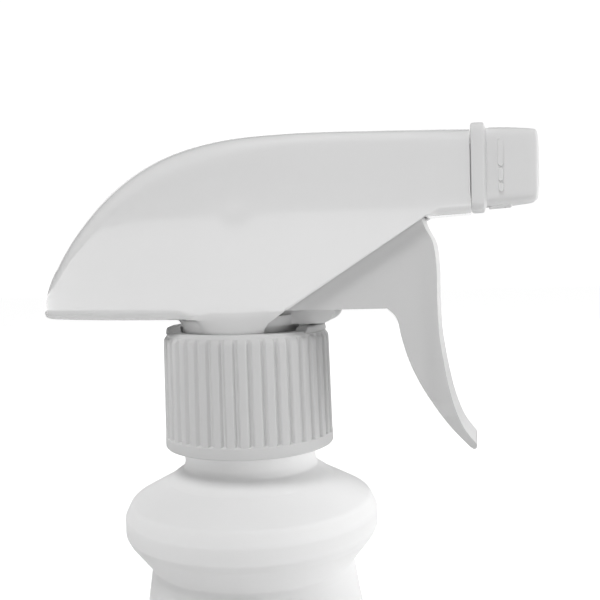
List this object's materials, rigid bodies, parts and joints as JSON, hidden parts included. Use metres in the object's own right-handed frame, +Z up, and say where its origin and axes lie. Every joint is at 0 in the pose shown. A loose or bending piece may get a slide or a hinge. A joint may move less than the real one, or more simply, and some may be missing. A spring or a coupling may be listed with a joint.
{
  "type": "trigger spray bottle",
  "caption": "Round plastic bottle with a gripping bulge under its neck, a ribbed screw closure and a trigger pump head with a long tail and a square turning nozzle.",
  "frame": {"origin": "centre of the bottle's flat base, on the bottle's axis", "axes": "+Z up along the bottle's axis, +X towards the nozzle"},
  "size_m": [0.1012, 0.07, 0.2318],
  "materials": {
    "bottle_plastic": "natural white blow-moulded polyethylene, soft sheen",
    "closure_plastic": "white polypropylene, satin",
    "cover_plastic": "white polypropylene, glossy",
    "lever_plastic": "white polypropylene, semi-gloss",
    "nozzle_plastic": "white polypropylene, semi-gloss",
    "body_plastic": "white polypropylene, satin",
    "natural_plastic": "unpigmented polyethylene, cloudy",
    "seal_rubber": "moulded rubber",
    "spring_steel": "bright stainless steel"
  },
  "bodies": {
    "bottle": {"bottle": "bottle_plastic"},
    "head": {"pump_body": "body_plastic", "shroud": "cover_plastic", "tube_retainer": "natural_plastic", "dip_tube": "natural_plastic", "gasket": "seal_rubber", "body_plug": "natural_plastic", "swirl_core": "natural_plastic", "nozzle_seal": "seal_rubber", "return_spring": "spring_steel", "outlet_spring": "spring_steel"},
    "closure": {"closure": "closure_plastic"},
    "trigger": {"trigger": "lever_plastic"},
    "piston": {"piston_rod": "natural_plastic", "piston_cup": "seal_rubber"},
    "nozzle": {"nozzle_cap": "nozzle_plastic"},
    "inlet_ball": {"inlet_ball": "spring_steel"},
    "outlet_valve": {"outlet_valve": "natural_plastic"}
  },
  "joints": [
    {"name": "head_rise", "type": "slide", "parent": "bottle", "child": "head", "axis": [0, 0, 1], "range_m": [0, 0.0047]},
    {"name": "closure_turn", "type": "hinge", "parent": "head", "child": "closure", "pos_m": [0, 0, 0.182], "axis": [0, 0, 1], "range_deg": [0, 400]},
    {"name": "trigger_pull", "type": "hinge", "parent": "head", "child": "trigger", "pos_m": [0.033, 0, 0.219], "axis": [0, 1, 0], "range_deg": [0, 22], "stiffness_Nm_per_rad": 0.9, "springref_deg": -9.74},
    {"name": "piston_slide", "type": "slide", "parent": "head", "child": "piston", "axis": [-1, 0, 0], "range_m": [0, 0.00534], "deforming": ["return_spring"]},
    {"name": "nozzle_turn", "type": "hinge", "parent": "head", "child": "nozzle", "pos_m": [0.05, 0, 0.2238], "axis": [1, 0, 0], "continuous": true},
    {"name": "inlet_ball_lift", "type": "slide", "parent": "head", "child": "inlet_ball", "axis": [0, 0, 1], "range_m": [0, 0.0024]},
    {"name": "outlet_valve_lift", "type": "slide", "parent": "head", "child": "outlet_valve", "axis": [1, 0, 0], "range_m": [0, 0.001], "stiffness_N_per_m": 300, "springref_m": -0.002, "deforming": ["outlet_spring"]}
  ],
  "couplings": [
    {"joint": "closure_turn", "follows": "head_rise", "rad_per_m": 1484.3},
    {"joint": "trigger_pull", "follows": "piston_slide", "rad_per_m": 71.868}
  ]
}
